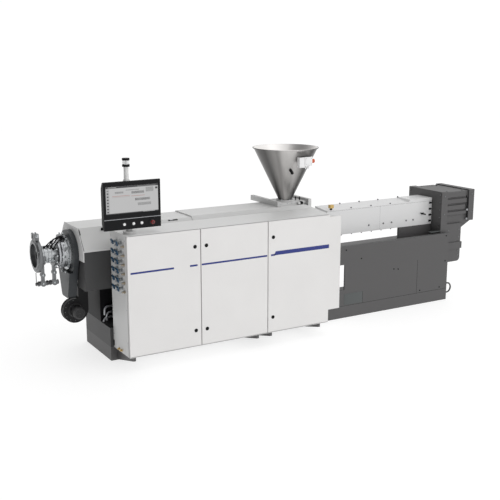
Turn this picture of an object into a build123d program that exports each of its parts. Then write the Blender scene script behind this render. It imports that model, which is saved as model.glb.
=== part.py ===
from build123d import *
import math
import os

# Extruder of a plastic pipe line: a long machine on a steel base, with the die head at the left end,
# a control cabinet in front, a hopper on top and the gear unit at the right end.
# Millimetres. X runs along the machine from the head to the gear unit, Y from the doors to the back, Z up.
# Places are first given from the cabinet's left front corner at the floor, and moved to the middle at the end.

# Sheet metal and fits
sheet = 4
seat_gap = 0.3
running_gap = 5
pin_play = 0.05
bolt_play = 0.2

# Control cabinet
door_count = 3
door_pitch = 805
door_gap = 10
door_thick = 22
door_skin = 3
cabinet_depth = 430
cabinet_bottom = 150
cabinet_top = 1396
cabinet_length = door_count * door_pitch
door_width = door_pitch - door_gap
door_bottom = cabinet_bottom + sheet + running_gap
door_top = cabinet_top - sheet - running_gap
cabinet_front = door_thick + 13
post_width = 50
rail_size = 35
pivot_inset_x = 14
pivot_inset_y = door_thick / 2
pivot_radius = 5
pivot_length = 25
lock_radius = 16
lock_inset = 60
lock_heights = (324, 1212)
lock_proud = 2

# Which edge each door turns at: -1 is its left edge, 1 its right edge
door_sides = (-1, 1, 1)

# Base under the whole machine
base_front = cabinet_depth
base_width = 733
base_left = -36
base_right = 4605
channel_height = 150
eye_inset = 40
eye_z = 142
eye_radius = 62
eye_wire = 10
eye_reach = 45
stand_top = 355
stand_length = 520
centre_y = base_front + base_width / 2
base_back = base_front + base_width

# Arms that carry the cabinet
arm_places = (50, 1486, 1652, 2290)
arm_width = 25
arm_tip_z = 112
arm_heel_z = 4

# Barrel housing and its hood
feed_panel_width = 445
feed_panel_top = 1270
feed_panel_thick = 30
feed_panel_right = cabinet_length + feed_panel_width
feed_end = feed_panel_right - 10
housing_left = -277
housing_right = feed_end - 250
housing_bottom = 775
housing_top = 1178
hood_top = 1400
hood_top_width = 400
hood_lip = 14
hood_grow = 6
hood_seam_x = 1000
hood_step = 12
ramp_left = feed_end - 370
ramp_low = housing_top + 73
collar_length = 10
collar_bottom = 1080
collar_proud = 6
lower_body_left = 230
support_front = 700

# Head at the left end, turned about the barrel's axis
axis_z = 1125
plate_thick = 52
plate_radius = 232
plate_leg_bottom = 654
leg_thick = 92
plate_right = housing_left - collar_length
plate_left = plate_right - plate_thick
flange_radius = 178
flange_thick = 22
drum_radius = 150
drum_length = 95
groove = 6
shoulder_radius = 116
cone_length = 30
neck_radius = 85
neck_flange_proud = 24
neck_flange_thick = 16
melt_radius = 45
heater_top = 1312

# Clamp ring at the head's mouth
ring_centre_x = -660
ring_radius = 176
ring_bore = 122
ring_thick = 46
ring_left = ring_centre_x - ring_thick / 2
ring_right = ring_centre_x + ring_thick / 2
ring_wall = 12
lug_y = 38
lug_z = axis_z + ring_radius + 34
lug_radius = 22
swing_radius = 9

# Hangers and tie rod under the head
tie_z = 826
tie_radius = 15
ring_hanger_x = -603
rear_hanger_x = -484
hanger_width = 34
hanger_thick = 32

# Blower under the head
blower_x = -262
blower_y = 880
blower_z = 478
blower_radius = 118
blower_growth = 24
blower_width = 80
outlet_width = 96
motor_radius = 60
motor_length = 150

# Valves and hose fittings on the cabinet's left end
valve_columns = (250, 138)
fitting_column = 74
valve_rows = 6
valve_pitch = 92
valve_top_z = 1308
valve_length = 46
lever_span = 74
lever_tilt = 32

# Hopper on its slide
hopper_x = feed_end - 520
hopper_rim_radius = 385
hopper_throat_radius = 72
hopper_rim_z = 2070
hopper_throat_z = 1448
hopper_wall = 3
rim_width = 12
rim_thick = 6
slide_length = 372
slide_depth = 310
slide_front = 640
slide_knob_x = 80
hopper_rail_width = 42
hopper_rail_height = 60
hopper_rail_front = 590
hopper_rail_back = 1200
sensor_below_rim = 220
sensor_height = 140
sensor_width = 100
sensor_reach = 392

# Shaft duct and gear unit
duct_width = 260
duct_bottom = 977
duct_top = 1291
duct_roof_rise = 20
lid_left = 4115
lid_height = 28
louvre_count = 4
louvre_pitch = 78
louvre_length = 86
louvre_proud = 14
gear_left = 4502
gear_width = 634
gear_top = 1411
gear_bottom = 926
front_plate_thick = base_right - gear_left
rear_plate_left = 4970
rear_plate_thick = 91
rear_plate_bottom = 1005
seam_drops = (5, 97, 178, 261, 328)
rib_proud = 18
lower_case_bottom = 480
lower_case_top = 985
lower_case_right = 4855
case_corner = 50
band_bottom = 650
band_top = 737
band_proud = 14
gusset_bottom = 895
duct_stand_left = 3975
duct_stand_thick = 40
cladding_left = feed_panel_right + 95
cladding_top = 885
cladding_thick = 18
window_low = 349
window_high = 662
fold_depth = 34
deck_top = 743
deck_thick = 18
core_left = 3520

# Operator panel
panel_left = -200
panel_width = 594
panel_bottom = 1453
panel_top = 1924
panel_front = 52
panel_thick = 60
panel_edge = 24
panel_taper = 60
panel_foot_x = 92
panel_foot_y = 150
foot_radius = 62
foot_height = 24
post_radius = 30
post_length = 60
strip_height = 104
stop_from_right = 97
button_spots = (388, 292, 206)
beacon_x = 57
beacon_y = 92
beacon_radius = 37
pole_height = 136
pole_radius = 24
lens_height = 40
band_height = 21


def block(x0, x1, y0, y1, z0, z1):
    """A box given by its lowest and highest corners."""
    middle = Pos((x0 + x1) / 2, (y0 + y1) / 2, (z0 + z1) / 2)
    return middle * Box(x1 - x0, y1 - y0, z1 - z0)


def along_x(points, x0, x1):
    """A section of Y and Z points carried along X."""
    face = Plane(origin=(x0, 0, 0), x_dir=(0, 1, 0), z_dir=(1, 0, 0)) * make_face(Polyline(*points, close=True))
    return extrude(face, amount=x1 - x0, dir=(1, 0, 0))


def along_y(points, y0, y1):
    """A section of X and Z points carried along Y."""
    face = Plane(origin=(0, y0, 0), x_dir=(1, 0, 0), z_dir=(0, -1, 0)) * make_face(Polyline(*points, close=True))
    return extrude(face, amount=y1 - y0, dir=(0, 1, 0))


def round_z(x, y, radius, z0, z1):
    """An upright cylinder."""
    return Pos(x, y, (z0 + z1) / 2) * Cylinder(radius, z1 - z0)


def round_x(y, z, radius, x0, x1):
    """A cylinder lying along X."""
    return Pos((x0 + x1) / 2, y, z) * Rot(0, 90, 0) * Cylinder(radius, x1 - x0)


def round_y(x, z, radius, y0, y1):
    """A cylinder lying along Y."""
    return Pos(x, (y0 + y1) / 2, z) * Rot(90, 0, 0) * Cylinder(radius, y1 - y0)


def turned_x(points, y, z):
    """A turned piece: points of X and radius, spun about a line along X."""
    return Pos(0, y, z) * revolve(make_face(Polyline(*points, close=True)), Axis.X)


def turned_y(points, x, z):
    """A turned piece: points of Y and radius, spun about a line along Y."""
    outline = [(radius, y) for y, radius in points]
    return Pos(x, 0, z) * revolve(make_face(Polyline(*outline, close=True)), Axis.Y)


def hexagon_x(y, z, radius, x0, x1):
    """A nut or bolt head lying along X, given by the radius of its corners."""
    face = Plane(origin=(x0, y, z), z_dir=(1, 0, 0)) * RegularPolygon(radius, 6)
    return extrude(face, amount=x1 - x0, dir=(1, 0, 0))


def hexagon_y(x, z, radius, y0, y1):
    """A nut or bolt head lying along Y, given by the radius of its corners."""
    face = Plane(origin=(x, y0, z), z_dir=(0, 1, 0)) * RegularPolygon(radius, 6)
    return extrude(face, amount=y1 - y0, dir=(0, 1, 0))


def hood_section(z_lip, top, grow):
    """The hood's outline: flat top, sloping sides and a short upright lip on each side."""
    low = base_front + hood_lip - grow
    high = base_back - hood_lip + grow
    top_near = centre_y - hood_top_width / 2
    top_far = centre_y + hood_top_width / 2
    shoulder = housing_top + hood_lip
    return [(low, z_lip), (high, z_lip), (high, shoulder), (top_far, top), (top_near, top), (low, shoulder)]


def hood_height(x):
    """The top of the rear hood at a place along the machine: level, then falling along the ramp."""
    level = hood_top + hood_step
    fall = (level - ramp_low) / (feed_end - ramp_left)
    return level - fall * max(0, x - ramp_left)


def pivot_place(index, side):
    """Where a door turns: near its left edge when side is -1, near its right edge when side is 1."""
    left = index * door_pitch + door_gap / 2
    if side < 0:
        return left + pivot_inset_x
    return left + door_width - pivot_inset_x


def base_frame():
    return block(base_left, base_right, base_front, base_back, 0, channel_height)


def die_end_stand():
    return block(base_left, base_left + stand_length, base_front, base_back, channel_height, stand_top)


def barrel_support():
    """The closed support that carries the barrel housing on the stand, set back behind the stand's edge."""
    return block(base_left, lower_body_left, support_front, base_back, stand_top, housing_bottom)


def cabinet_arms():
    """Flat arms under the cabinet, deep at the base and thin at the doors."""
    arms = []
    heel = base_front - seat_gap
    for x in arm_places:
        side = [(0, cabinet_bottom), (heel, cabinet_bottom), (heel, arm_heel_z), (0, arm_tip_z)]
        arms.append(along_x(side, x - arm_width / 2, x + arm_width / 2))
    return Compound(children=arms)


def cabinet_plate(z0, z1, pin_z0, pin_z1, rail_z0, rail_z1):
    """The roof or floor sheet with its inner front rail and the door pivot pins."""
    plate = block(0, cabinet_length, 0, cabinet_depth, z0, z1)
    plate += block(sheet, cabinet_length - sheet, cabinet_front, cabinet_front + rail_size, rail_z0, rail_z1)
    for index, side in enumerate(door_sides):
        plate += round_z(pivot_place(index, side), pivot_inset_y, pivot_radius, pin_z0, pin_z1)
    return plate


def cabinet_roof():
    under = cabinet_top - sheet
    return cabinet_plate(under, cabinet_top, door_top - pivot_length, under, under - rail_size, under)


def cabinet_floor():
    over = cabinet_bottom + sheet
    return cabinet_plate(cabinet_bottom, over, over, door_bottom + pivot_length, over, over + rail_size)


def cabinet_back():
    return block(0, cabinet_length, cabinet_depth - sheet, cabinet_depth, cabinet_bottom + sheet, cabinet_top - sheet)


def cabinet_uprights():
    """The cabinet's end sheets and the posts between the doors."""
    z0 = cabinet_bottom + sheet
    z1 = cabinet_top - sheet
    back = cabinet_depth - sheet
    uprights = [block(x, x + sheet, cabinet_front, back, z0, z1) for x in (0, cabinet_length - sheet)]
    for index in range(1, door_count):
        left = index * door_pitch - post_width / 2
        uprights.append(block(left, left + post_width, cabinet_front, cabinet_front + rail_size, z0 + rail_size,
                              z1 - rail_size))
    return Compound(children=uprights)


def mounting_plates():
    """A plate for the switchgear at the back of each bay, on four round spacers."""
    margin = 70
    spacer = 20
    back = cabinet_depth - sheet
    z0 = cabinet_bottom + margin
    z1 = cabinet_top - margin
    plates = []
    for index in range(door_count):
        x0 = index * door_pitch + margin
        x1 = (index + 1) * door_pitch - margin
        plate = block(x0, x1, back - spacer - sheet, back - spacer, z0, z1)
        for x in (x0 + margin, x1 - margin):
            for z in (z0 + margin, z1 - margin):
                plate += round_y(x, z, spacer / 2, back - spacer, back)
        plates.append(plate)
    return Compound(children=plates)


def door(index, side):
    """A folded door pan, open at the back, with a pivot block at each end of its hinge edge and two locks."""
    left = index * door_pitch + door_gap / 2
    right = left + door_width
    pan = block(left, right, 0, door_thick, door_bottom, door_top)
    pan -= block(left + door_skin, right - door_skin, door_skin, door_thick, door_bottom + door_skin,
                 door_top - door_skin)
    pivot = pivot_place(index, side)
    for z0, z1 in ((door_bottom, door_bottom + pivot_length), (door_top - pivot_length, door_top)):
        pan += block(pivot - pivot_inset_x, pivot + pivot_inset_x, 0, door_thick, z0, z1)
        pan -= round_z(pivot, pivot_inset_y, pivot_radius + pin_play, z0, z1)
    lock_x = right - lock_inset if side < 0 else left + lock_inset
    for z in lock_heights:
        pan += round_y(lock_x, z, lock_radius, -lock_proud, door_thick)
    return pan


def feed_panel():
    return block(cabinet_length, feed_panel_right, base_front - feed_panel_thick, base_front, cabinet_bottom,
                 feed_panel_top)


def drive_cladding():
    """The drive bay's panels: the front one with its window and folded top edge, the back and the end."""
    outline = [(feed_panel_right, channel_height), (base_right, channel_height), (base_right, cladding_top),
               (feed_panel_right, cladding_top), (feed_panel_right, window_high), (cladding_left, window_high),
               (cladding_left, window_low), (feed_panel_right, window_low)]
    inside = base_front + cladding_thick
    front = along_y(outline, base_front, inside)
    front += block(feed_panel_right, gear_left, inside, inside + fold_depth, cladding_top - sheet, cladding_top)
    under_deck = deck_top - deck_thick
    back = block(core_left, base_right, base_back - cladding_thick, base_back, channel_height, under_deck)
    end = block(base_right - cladding_thick, base_right, inside, base_back - cladding_thick, channel_height,
                under_deck)
    return Compound(children=[front, back, end])


def drive_bay():
    """The closed bay of the motor with the deck over it."""
    inside = base_front + cladding_thick
    under_deck = deck_top - deck_thick
    bay = block(core_left, base_right - cladding_thick, inside, base_back - cladding_thick, channel_height,
                under_deck)
    return bay + block(feed_end, base_right, inside, base_back, under_deck, deck_top)


def lifting_eyes():
    """Half-sunk rings on the base's right end, for lifting."""
    eyes = []
    for y in (base_front + eye_inset, base_back - eye_inset):
        ring = Pos(base_right + eye_reach, y, eye_z) * Rot(90, 0, 0) * Torus(eye_radius, eye_wire)
        margin = 2 * eye_wire
        inside = block(base_right - eye_radius, base_right, y - margin, y + margin, eye_z - eye_radius - margin,
                       eye_z + eye_radius + margin)
        eyes.append(ring - inside)
    return Compound(children=eyes)


def barrel_housing():
    return block(housing_left, housing_right, base_front + hood_lip, base_back - hood_lip, housing_bottom,
                 housing_top)


def lower_body():
    """The closed body behind the cabinet, from the base up to the barrel housing and the feed end."""
    body = block(lower_body_left, housing_right, base_front, base_back, stand_top, housing_bottom)
    body += block(base_left + stand_length, housing_right, base_front, base_back, channel_height, stand_top)
    return body + block(housing_right, feed_end, base_front, base_back, channel_height, duct_bottom)


def feed_cover():
    return block(housing_right, feed_end, base_front, base_back, duct_bottom, housing_top)


def hood_front():
    return along_x(hood_section(housing_top, hood_top, hood_grow), housing_left, hood_seam_x)


def hood_rear():
    """The rear hood, a step higher than the front one, with a ramp down to the feed end."""
    level = hood_top + hood_step
    body = along_x(hood_section(housing_top, level, hood_grow), hood_seam_x, feed_end)
    above = [(ramp_left, level), (feed_end, ramp_low), (feed_end, level + hood_step), (ramp_left, level + hood_step)]
    return body - along_y(above, base_front, base_back)


def hood_collar():
    """The collar round the hood's left end, a little larger than the hood."""
    section = hood_section(collar_bottom, hood_top + collar_proud, collar_proud)
    return along_x(section, housing_left - collar_length, housing_left)


def head_plate():
    """The round plate that carries the head, with a tapered leg, thicker than the plate and rounded at its foot."""
    disc = round_x(centre_y, axis_z, plate_radius, plate_left, plate_right)
    hip = axis_z - 60
    leg_left = plate_right - leg_thick
    leg = along_x([(centre_y - 215, hip), (centre_y + 215, hip), (centre_y + 90, plate_leg_bottom),
                   (centre_y - 90, plate_leg_bottom)], leg_left, plate_right)
    foot_edges = leg.edges().filter_by(Axis.X).group_by(Axis.Z)[0]
    leg = fillet(foot_edges, 34)
    leg_step = axis_z - flange_radius - 10
    leg -= block(leg_left, plate_left, centre_y - plate_radius, centre_y + plate_radius, leg_step, hip)
    return disc + leg


def head_adapter():
    """The turned adapter from the plate to the clamp ring: flange, grooved drum, cone, neck and end flange."""
    drum_left = plate_left - drum_length
    cone_left = drum_left - cone_length
    groove_right = plate_left - 2 * flange_thick
    groove_left = groove_right - groove
    end_flange = ring_right + neck_flange_thick
    points = [(plate_left, 0), (plate_left, flange_radius), (plate_left - flange_thick, flange_radius),
              (plate_left - flange_thick, drum_radius), (groove_right, drum_radius),
              (groove_right, drum_radius - groove), (groove_left, drum_radius - groove), (groove_left, drum_radius),
              (drum_left + groove, drum_radius), (drum_left, drum_radius - groove), (drum_left, shoulder_radius),
              (cone_left, neck_radius), (end_flange, neck_radius), (end_flange, neck_radius + neck_flange_proud),
              (ring_right, neck_radius + neck_flange_proud), (ring_right, melt_radius),
              (ring_right + 2 * melt_radius, melt_radius), (ring_right + 2 * melt_radius, 0)]
    return turned_x(points, centre_y, axis_z)


def heater_box():
    """The connection box on top of the drum, with bevelled upper edges and a hollowed seat."""
    half = 56
    bevel = 18
    low = axis_z + drum_radius - 3 * bevel
    x0 = plate_left - drum_length + groove
    x1 = plate_left - flange_thick - groove
    box = along_x([(centre_y - half, low), (centre_y + half, low), (centre_y + half, heater_top - bevel),
                   (centre_y + half - bevel, heater_top), (centre_y - half + bevel, heater_top),
                   (centre_y - half, heater_top - bevel)], x0, x1)
    return box - round_x(centre_y, axis_z, drum_radius + seat_gap, x0, x1)


def head_ring():
    """The clamp ring with a raised lip round its bore, bevelled edges and a slit at the top."""
    bevel = 6
    lip = 8
    points = [(ring_left, ring_bore), (ring_left, ring_bore + 22), (ring_left + lip, ring_bore + 26),
              (ring_left + lip, ring_radius - bevel), (ring_left + lip + bevel, ring_radius),
              (ring_right - bevel, ring_radius), (ring_right, ring_radius - bevel), (ring_right, melt_radius),
              (ring_right - ring_wall, melt_radius), (ring_right - ring_wall, ring_bore)]
    ring = turned_x(points, centre_y, axis_z)
    slit = block(ring_left, ring_right, centre_y - 3, centre_y + 3, axis_z + ring_bore + 22, axis_z + ring_radius)
    return ring - slit


def ring_lugs():
    """The lugs that close the clamp ring: a fork for the swing bolt's eye and, over the slit, an open fork."""
    lugs = []
    bolt_slot = 2 * swing_radius + 2
    for side in (1, -1):
        y = centre_y + side * lug_y
        lug = round_x(y, lug_z, lug_radius, ring_left, ring_right)
        lug += block(ring_left, ring_right, y - lug_radius, y + lug_radius, axis_z + ring_radius - 20, lug_z)
        lug -= round_x(centre_y, axis_z, ring_radius, ring_left, ring_right)
        slot_bottom = lug_z - lug_radius - 2
        lug -= block(ring_centre_x - bolt_slot / 2, ring_centre_x + bolt_slot / 2, y - lug_radius, y + lug_radius,
                     slot_bottom, lug_z + lug_radius)
        lugs.append(lug)
    lugs[0] -= round_x(centre_y + lug_y, lug_z, swing_radius + bolt_play, ring_left, ring_right)
    return Compound(children=lugs)


def swing_bolt():
    """The swing bolt on its pin: an eye in the fork, a shank over the slit, a washer and a hexagon nut."""
    pin_y = centre_y + lug_y
    face_y = centre_y - lug_y - lug_radius - bolt_play
    eye_half = swing_radius - 1
    bolt = round_x(pin_y, lug_z, swing_radius, ring_left, ring_right)
    bolt += round_x(pin_y, lug_z, 2 * swing_radius, ring_centre_x - eye_half, ring_centre_x + eye_half)
    bolt += round_y(ring_centre_x, lug_z, swing_radius, face_y - 32, pin_y)
    bolt += round_y(ring_centre_x, lug_z, 19, face_y - 5, face_y)
    return bolt + hexagon_y(ring_centre_x, lug_z, 17, face_y - 20, face_y - 5)


def hanger(x, top_radius, saddle, joint_z):
    """A hanger: a half shell under the head, a flat arm and a round eye for the tie rod."""
    x0 = x - hanger_width / 2
    x1 = x + hanger_width / 2
    shell = round_x(centre_y, axis_z, top_radius + saddle, x0, x1)
    shell -= block(x0, x1, centre_y - 2 * top_radius, centre_y + 2 * top_radius, axis_z, axis_z + 2 * top_radius)
    arm = shell + block(x0, x1, centre_y - hanger_thick / 2, centre_y + hanger_thick / 2, tie_z,
                        axis_z - top_radius - 4)
    for z, radius in ((joint_z, 25), (tie_z, 31)):
        arm += round_y(x, z, radius, centre_y - hanger_thick / 2 - 5, centre_y + hanger_thick / 2 + 5)
    arm -= round_x(centre_y, axis_z, top_radius + seat_gap, x0, x1)
    return arm - round_x(centre_y, tie_z, tie_radius + bolt_play, x0 - 31, x1 + 31)


def head_hangers():
    """The two hangers under the neck: a light one near the ring and a heavy one near the drum."""
    light = hanger(ring_hanger_x, neck_radius, 20, 915)
    heavy = hanger(rear_hanger_x, neck_radius, 40, 930)
    return Compound(children=[light, heavy])


def tie_rod():
    """The threaded rod through both hangers, with its nuts and the thin gauge pin at its free end."""
    free_end = ring_hanger_x - 78
    rod = round_x(centre_y, tie_z, tie_radius, free_end, rear_hanger_x + 44)
    for x0, x1 in ((ring_hanger_x - 54, ring_hanger_x - 33), (ring_hanger_x + 33, ring_hanger_x + 54),
                   (rear_hanger_x - 54, rear_hanger_x - 33), (rear_hanger_x + 33, rear_hanger_x + 40)):
        rod += hexagon_x(centre_y, tie_z, 27, x0, x1)
    return rod + round_z(free_end + 10, centre_y, 4, tie_z - 20, tie_z + 118)


def scroll(grow, y0, y1):
    """The blower's scroll, its radius growing round the turn, with the outlet duct up to the housing."""
    steps = 9
    curve = []
    for step in range(steps + 1):
        angle = math.radians(90 + 270 * step / steps)
        radius = blower_radius + blower_growth * step / steps + grow
        curve.append((blower_x + radius * math.cos(angle), blower_z + radius * math.sin(angle)))
    right = curve[-1][0]
    left = right - outlet_width - 2 * grow
    outlet = Polyline(curve[-1], (right, housing_bottom), (left, housing_bottom), (left, curve[0][1]), curve[0])
    face = Plane(origin=(0, y0, 0), x_dir=(1, 0, 0), z_dir=(0, -1, 0)) * make_face(Spline(*curve) + outlet)
    return extrude(face, amount=y1 - y0, dir=(0, 1, 0))


def blower_volute():
    """The scroll with its two side plates, which stand a little proud all round."""
    front = blower_y - blower_width / 2
    back = blower_y + blower_width / 2
    plate = 5
    volute = scroll(0, front + plate, back - plate)
    return volute + scroll(plate, front, front + plate) + scroll(plate, back - plate, back)


def blower_motor():
    """The motor on the blower's front: mounting flange, body and a stepped fan cover."""
    face = blower_y - blower_width / 2
    end = face - motor_length
    points = [(face, 0), (face, motor_radius + 18), (face - 10, motor_radius + 18), (face - 10, motor_radius - 6),
              (face - 24, motor_radius - 6), (face - 24, motor_radius), (end + 46, motor_radius),
              (end + 46, motor_radius + 4), (end + 8, motor_radius + 4), (end, motor_radius - 8), (end, 0)]
    return turned_y(points, blower_x, blower_z)


def valve_places():
    """The place of each valve in Y and Z, column by column."""
    return [(y, valve_top_z - valve_pitch * row) for y in valve_columns for row in range(valve_rows)]


def valve_bodies():
    """Turned ball valves: a nut at the wall, a waist, the round body and a stem."""
    profile = [(0, 0), (0, 17), (-9, 17), (-9, 11), (-15, 11), (-19, 16), (-32, 16), (-36, 9), (-valve_length, 9),
               (-valve_length, 0)]
    return Compound(children=[turned_x(profile, y, z) for y, z in valve_places()])


def valve_handles():
    """The tilted levers of the valves, rounded at both ends, with a hub over the stem."""
    thick = 12
    reach = lever_span / 2 - 10
    levers = []
    for y, z in valve_places():
        bar = Box(thick, 2 * reach, 20)
        for end in (-reach, reach):
            bar += Pos(0, end, 0) * Rot(0, 90, 0) * Cylinder(10, thick)
        bar += Rot(0, 90, 0) * Cylinder(16, thick)
        levers.append(Pos(-valve_length - thick / 2, y, z) * Rot(lever_tilt, 0, 0) * bar)
    return Compound(children=levers)


def hose_fittings():
    """Turned hose nipples: a nut at the wall and a ribbed spigot."""
    profile = [(0, 0), (0, 14), (-10, 14), (-10, 8), (-16, 8), (-18, 10), (-22, 7), (-24, 10), (-32, 7), (-32, 0)]
    heights = [valve_top_z - valve_pitch * (row + 0.3) for row in range(valve_rows)]
    return Compound(children=[turned_x(profile, fitting_column, z) for z in heights])


def panel_foot():
    """The panel's round foot with the stub that the post turns on."""
    foot = round_z(panel_foot_x, panel_foot_y, foot_radius, cabinet_top, cabinet_top + foot_height)
    stub_top = cabinet_top + foot_height + post_length
    return foot + round_z(panel_foot_x, panel_foot_y, post_radius / 2, cabinet_top, stub_top)


def panel_housing():
    """The flat housing with its tapered back, on a post that turns on the foot."""
    back = panel_front + panel_thick
    edge = panel_front + panel_edge
    section = [(panel_front, panel_bottom), (panel_front, panel_top), (edge, panel_top),
               (back, panel_top - panel_taper), (back, panel_bottom + panel_taper), (edge, panel_bottom)]
    housing = along_x(section, panel_left, panel_left + panel_width)
    post_bottom = cabinet_top + foot_height + seat_gap
    post_top = panel_bottom + 300
    housing += round_z(panel_foot_x, panel_foot_y, post_radius, post_bottom, post_top)
    housing += block(panel_foot_x - foot_radius, panel_foot_x + foot_radius, back, panel_foot_y,
                     panel_bottom + panel_taper, post_top - 40)
    stub_hole = post_radius / 2 + pin_play
    return housing - round_z(panel_foot_x, panel_foot_y, stub_hole, post_bottom, post_bottom + post_length + 1)


def panel_screen():
    side = 26
    return block(panel_left + side, panel_left + panel_width - side, panel_front - 2, panel_front,
                 panel_bottom + strip_height + 56, panel_top - 44)


def panel_buttons():
    """The three round push buttons with domed faces."""
    right = panel_left + panel_width
    profile = [(panel_front, 0), (panel_front, 14), (panel_front - 5, 14), (panel_front - 5, 11),
               (panel_front - 9, 10), (panel_front - 11, 6), (panel_front - 11, 0)]
    z = panel_bottom + strip_height / 2
    return Compound(children=[turned_y(profile, right - spot, z) for spot in button_spots])


def emergency_stop():
    """The mushroom head on its collar."""
    x = panel_left + panel_width - stop_from_right
    profile = [(panel_front, 0), (panel_front, 17), (panel_front - 8, 17), (panel_front - 8, 10),
               (panel_front - 19, 10), (panel_front - 22, 20), (panel_front - 31, 19), (panel_front - 36, 11),
               (panel_front - 37, 0)]
    return turned_y(profile, x, panel_bottom + strip_height / 2)


def beacon_pole():
    """The pole on the panel's top edge with its foot ring."""
    top = panel_top + pole_height
    pole = round_z(beacon_x, beacon_y, pole_radius, panel_top - panel_taper / 2, top)
    pole += round_z(beacon_x, beacon_y, pole_radius + 8, panel_top - panel_taper / 2, panel_top + 10)
    return pole - panel_housing()


def beacon_bands():
    """The dark socket under the lens and the dark cap over it."""
    socket = panel_top + pole_height
    cap = socket + band_height + lens_height
    lower = round_z(beacon_x, beacon_y, beacon_radius, socket, socket + band_height)
    upper = round_z(beacon_x, beacon_y, beacon_radius, cap, cap + band_height)
    return Compound(children=[lower, upper])


def beacon_lens():
    low = panel_top + pole_height + band_height
    return round_z(beacon_x, beacon_y, beacon_radius - 3, low, low + lens_height)


def hopper_cone():
    """The spun hopper: a thin cone from the throat to the rim, which is turned outwards."""
    slope_wall = hopper_wall * 1.1
    rim_low = hopper_rim_z - rim_thick
    wall_top = hopper_rim_radius - rim_width
    points = [(hopper_throat_radius - hopper_wall, hopper_throat_z), (hopper_throat_radius, hopper_throat_z),
              (wall_top, rim_low), (hopper_rim_radius, rim_low), (hopper_rim_radius, hopper_rim_z),
              (wall_top - slope_wall, hopper_rim_z)]
    profile = Plane.XZ * make_face(Polyline(*points, close=True))
    return Pos(hopper_x, centre_y, 0) * revolve(profile, Axis.Z)


def hopper_slide():
    """The sliding plate under the hopper, with the ring round the throat and the knob it is moved by."""
    x0 = hopper_x - slide_length / 2
    z0 = hood_top + hood_step + seat_gap
    plate = block(x0, x0 + slide_length, slide_front, slide_front + slide_depth, z0, hopper_throat_z)
    plate += round_z(hopper_x, centre_y, hopper_throat_radius + 32, hopper_throat_z, hopper_throat_z + 12)
    plate -= round_z(hopper_x, centre_y, hopper_throat_radius + 12, hopper_throat_z, hopper_throat_z + 12)
    plate += round_y(hopper_x + slide_knob_x, (z0 + hopper_throat_z) / 2, 15, slide_front - 28, slide_front)
    return plate - round_z(hopper_x, centre_y, hopper_throat_radius - hopper_wall, z0, hopper_throat_z)


def hopper_rails():
    """The rails that guide the slide, standing on the hood and following its ramp."""
    reach = slide_length / 2 + running_gap
    top = hood_top + hood_step + hopper_rail_height
    rails = []
    for x0 in (hopper_x - reach - hopper_rail_width, hopper_x + reach):
        x1 = x0 + hopper_rail_width
        section = [(x0, top), (x1, top), (x1, hood_height(x1)), (x0, hood_height(x0))]
        rails.append(along_y(section, hopper_rail_front, hopper_rail_back))
    return Compound(children=rails)


def cone_radius(z):
    """The hopper's outer radius at a height."""
    wall_top = hopper_rim_radius - rim_width
    share = (z - hopper_throat_z) / (hopper_rim_z - rim_thick - hopper_throat_z)
    return hopper_throat_radius + share * (wall_top - hopper_throat_radius)


def level_sensor():
    """The level sensor's box, its back cut to the cone's slope."""
    low = hopper_rim_z - sensor_below_rim
    high = low + sensor_height
    front = centre_y - sensor_reach
    side = [(front, low + 40), (centre_y - cone_radius(low) - seat_gap, low),
            (centre_y - cone_radius(high) - seat_gap, high), (front, high)]
    return along_x(side, hopper_x + 10, hopper_x + 10 + sensor_width)


def sensor_cap():
    x = hopper_x + 10 + sensor_width
    z = hopper_rim_z - sensor_below_rim + 85
    profile = [(x, 0), (x, 16), (x + 8, 16), (x + 10, 24), (x + 46, 24), (x + 50, 20), (x + 50, 0)]
    return turned_x(profile, centre_y - sensor_reach + 40, z)


def louvre(z):
    """A pressed louvre on the duct's front, open towards the gear unit."""
    near = centre_y - duct_width / 2
    right = gear_left - 8
    height = 36
    plan = [(right - louvre_length, near), (right, near - louvre_proud), (right, near)]
    return extrude(Pos(0, 0, z - height / 2) * make_face(Polyline(*plan, close=True)), amount=height)


def shaft_duct():
    """The duct over the coupling shaft, its roof rising to the back, with the raised lid and the louvres."""
    near = centre_y - duct_width / 2
    far = near + duct_width
    section = [(near, duct_bottom), (far, duct_bottom), (far, duct_top + duct_roof_rise), (near + 60, duct_top),
               (near, duct_top)]
    duct = along_x(section, feed_end, gear_left)
    duct += along_y([(lid_left, duct_top), (gear_left, duct_top), (gear_left, duct_top + lid_height),
                     (lid_left + lid_height, duct_top + lid_height)], near, far)
    for index in range(louvre_count):
        duct += louvre(duct_top - 37 - index * louvre_pitch)
    return duct


def gear_plate_front():
    near = centre_y - gear_width / 2
    return block(gear_left, base_right, near, near + gear_width, gear_bottom, gear_top)


def gear_housing():
    """The gear housing between its two plates, with bevelled ribs along both sides."""
    near = centre_y - gear_width / 2 + 24
    far = centre_y + gear_width / 2 - 24
    housing = block(base_right, rear_plate_left, near, far, lower_case_top, gear_top - 12)
    for index in range(len(seam_drops) - 1):
        high = gear_top - seam_drops[index] - 4
        low = gear_top - seam_drops[index + 1] + 4
        right = rear_plate_left - (60 if index % 2 == 0 else 22)
        for wall, out in ((near, -rib_proud), (far, rib_proud)):
            rib = [(wall, high), (wall + out, high - 8), (wall + out, low + 12), (wall, low)]
            housing += along_x(rib, base_right, right)
    return housing


def gear_plate_rear():
    """The gear unit's rear plate with the sloping bracket under it."""
    near = centre_y - gear_width / 2
    far = centre_y + gear_width / 2
    right = rear_plate_left + rear_plate_thick
    bracket = [(lower_case_right, gusset_bottom), (right, rear_plate_bottom), (rear_plate_left, rear_plate_bottom),
               (rear_plate_left, lower_case_top), (lower_case_right, lower_case_top)]
    plate = block(rear_plate_left, right, near, far, rear_plate_bottom, gear_top)
    return plate + along_y(bracket, near + 40, far - 40)


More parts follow.
